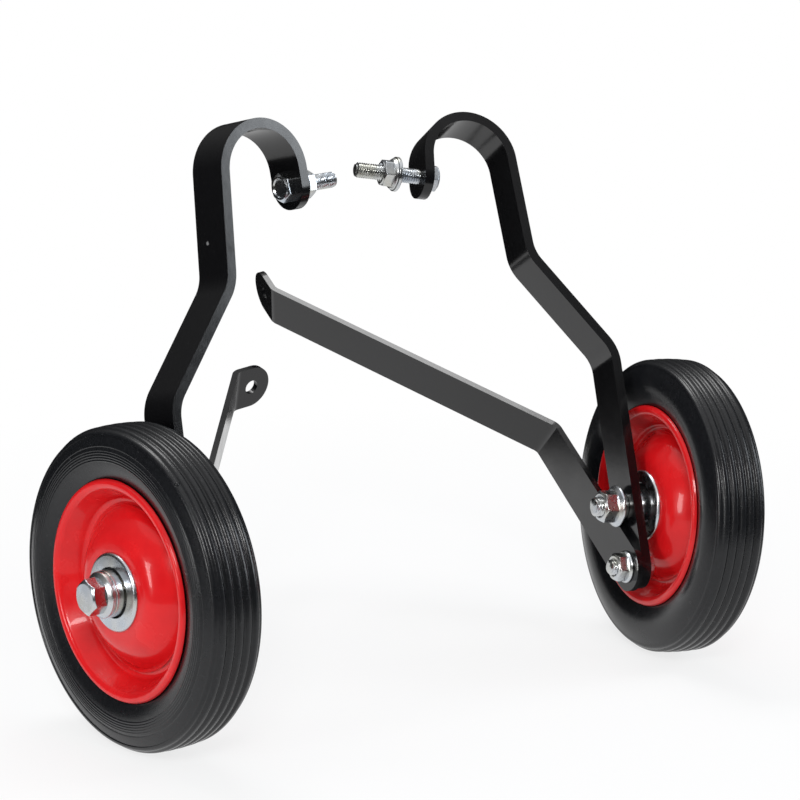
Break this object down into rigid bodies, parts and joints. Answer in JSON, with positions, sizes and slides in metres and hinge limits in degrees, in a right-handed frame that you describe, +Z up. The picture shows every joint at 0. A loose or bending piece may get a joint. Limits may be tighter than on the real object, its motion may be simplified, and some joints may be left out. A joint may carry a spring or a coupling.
{
  "type": "motorcycle training wheels",
  "caption": "Pair of bolt-on training wheels: hooked flat-bar arm, solid-tyred pressed rim on ball bearings and a hinged flat-bar brace for each side.",
  "frame": {"origin": "middle of the pair on the floor under the tyres", "axes": "+X from the left unit to the right unit as seen from the front, +Y from front to back, +Z up"},
  "size_m": [0.354, 0.3549, 0.2837],
  "materials": {
    "black_paint": "gloss black paint",
    "red_paint": "gloss red paint",
    "tyre_rubber": "satin solid rubber",
    "seal_rubber": "matt",
    "zinc_plate": "bright zinc plate",
    "bearing_steel": "ground steel"
  },
  "bodies": {
    "root": {"left_arm": "black_paint", "left_brace_bolt": "zinc_plate", "left_brace_nut": "zinc_plate", "left_hook_bolt": "zinc_plate", "left_hook_washer": "zinc_plate", "left_hook_nut": "zinc_plate", "left_outer_bearing_inner_ring": "bearing_steel", "left_inner_bearing_inner_ring": "bearing_steel", "left_bearing_spacer_tube": "bearing_steel", "left_axle_bolt": "zinc_plate", "left_axle_washer": "zinc_plate", "left_outboard_spacer": "zinc_plate", "left_inboard_spacer": "zinc_plate", "left_nut_collar": "zinc_plate", "left_axle_nut": "zinc_plate", "right_arm": "black_paint", "right_brace_bolt": "zinc_plate", "right_brace_nut": "zinc_plate", "right_hook_bolt": "zinc_plate", "right_hook_washer": "zinc_plate", "right_hook_nut": "zinc_plate", "right_outer_bearing_inner_ring": "bearing_steel", "right_inner_bearing_inner_ring": "bearing_steel", "right_bearing_spacer_tube": "bearing_steel", "right_axle_bolt": "zinc_plate", "right_axle_washer": "zinc_plate", "right_outboard_spacer": "zinc_plate", "right_inboard_spacer": "zinc_plate", "right_nut_collar": "zinc_plate", "right_axle_nut": "zinc_plate"},
    "left_wheel": {"left_tyre": "tyre_rubber", "left_rim_outer_half": "red_paint", "left_rim_inner_half": "red_paint", "left_hub_tube": "red_paint", "left_dust_cap_outer": "zinc_plate", "left_dust_cap_inner": "zinc_plate", "left_outer_bearing_outer_ring": "bearing_steel", "left_outer_bearing_balls": "bearing_steel", "left_outer_bearing_seals": "seal_rubber", "left_inner_bearing_outer_ring": "bearing_steel", "left_inner_bearing_balls": "bearing_steel", "left_inner_bearing_seals": "seal_rubber"},
    "left_brace": {"left_brace": "black_paint"},
    "right_wheel": {"right_tyre": "tyre_rubber", "right_rim_outer_half": "red_paint", "right_rim_inner_half": "red_paint", "right_hub_tube": "red_paint", "right_dust_cap_outer": "zinc_plate", "right_dust_cap_inner": "zinc_plate", "right_outer_bearing_outer_ring": "bearing_steel", "right_outer_bearing_balls": "bearing_steel", "right_outer_bearing_seals": "seal_rubber", "right_inner_bearing_outer_ring": "bearing_steel", "right_inner_bearing_balls": "bearing_steel", "right_inner_bearing_seals": "seal_rubber"},
    "right_brace": {"right_brace": "black_paint"}
  },
  "joints": [
    {"name": "left_wheel_spin", "type": "hinge", "parent": "root", "child": "left_wheel", "pos_m": [-0.1455, -0.0776, 0.0762], "axis": [-0.9849, -0.1701, 0.0332], "continuous": true},
    {"name": "left_brace_pivot", "type": "hinge", "parent": "root", "child": "left_brace", "pos_m": [-0.11825, -0.07887, 0.04385], "axis": [-0.9849, -0.1701, 0.0332], "range_deg": [-10, 30]},
    {"name": "right_wheel_spin", "type": "hinge", "parent": "root", "child": "right_wheel", "pos_m": [0.1455, -0.1012, 0.07627], "axis": [0.9818, -0.1678, -0.0889], "continuous": true},
    {"name": "right_brace_pivot", "type": "hinge", "parent": "root", "child": "right_brace", "pos_m": [0.11332, -0.11074, 0.05049], "axis": [-0.9818, 0.1678, 0.0889], "range_deg": [0, 30]}
  ]
}
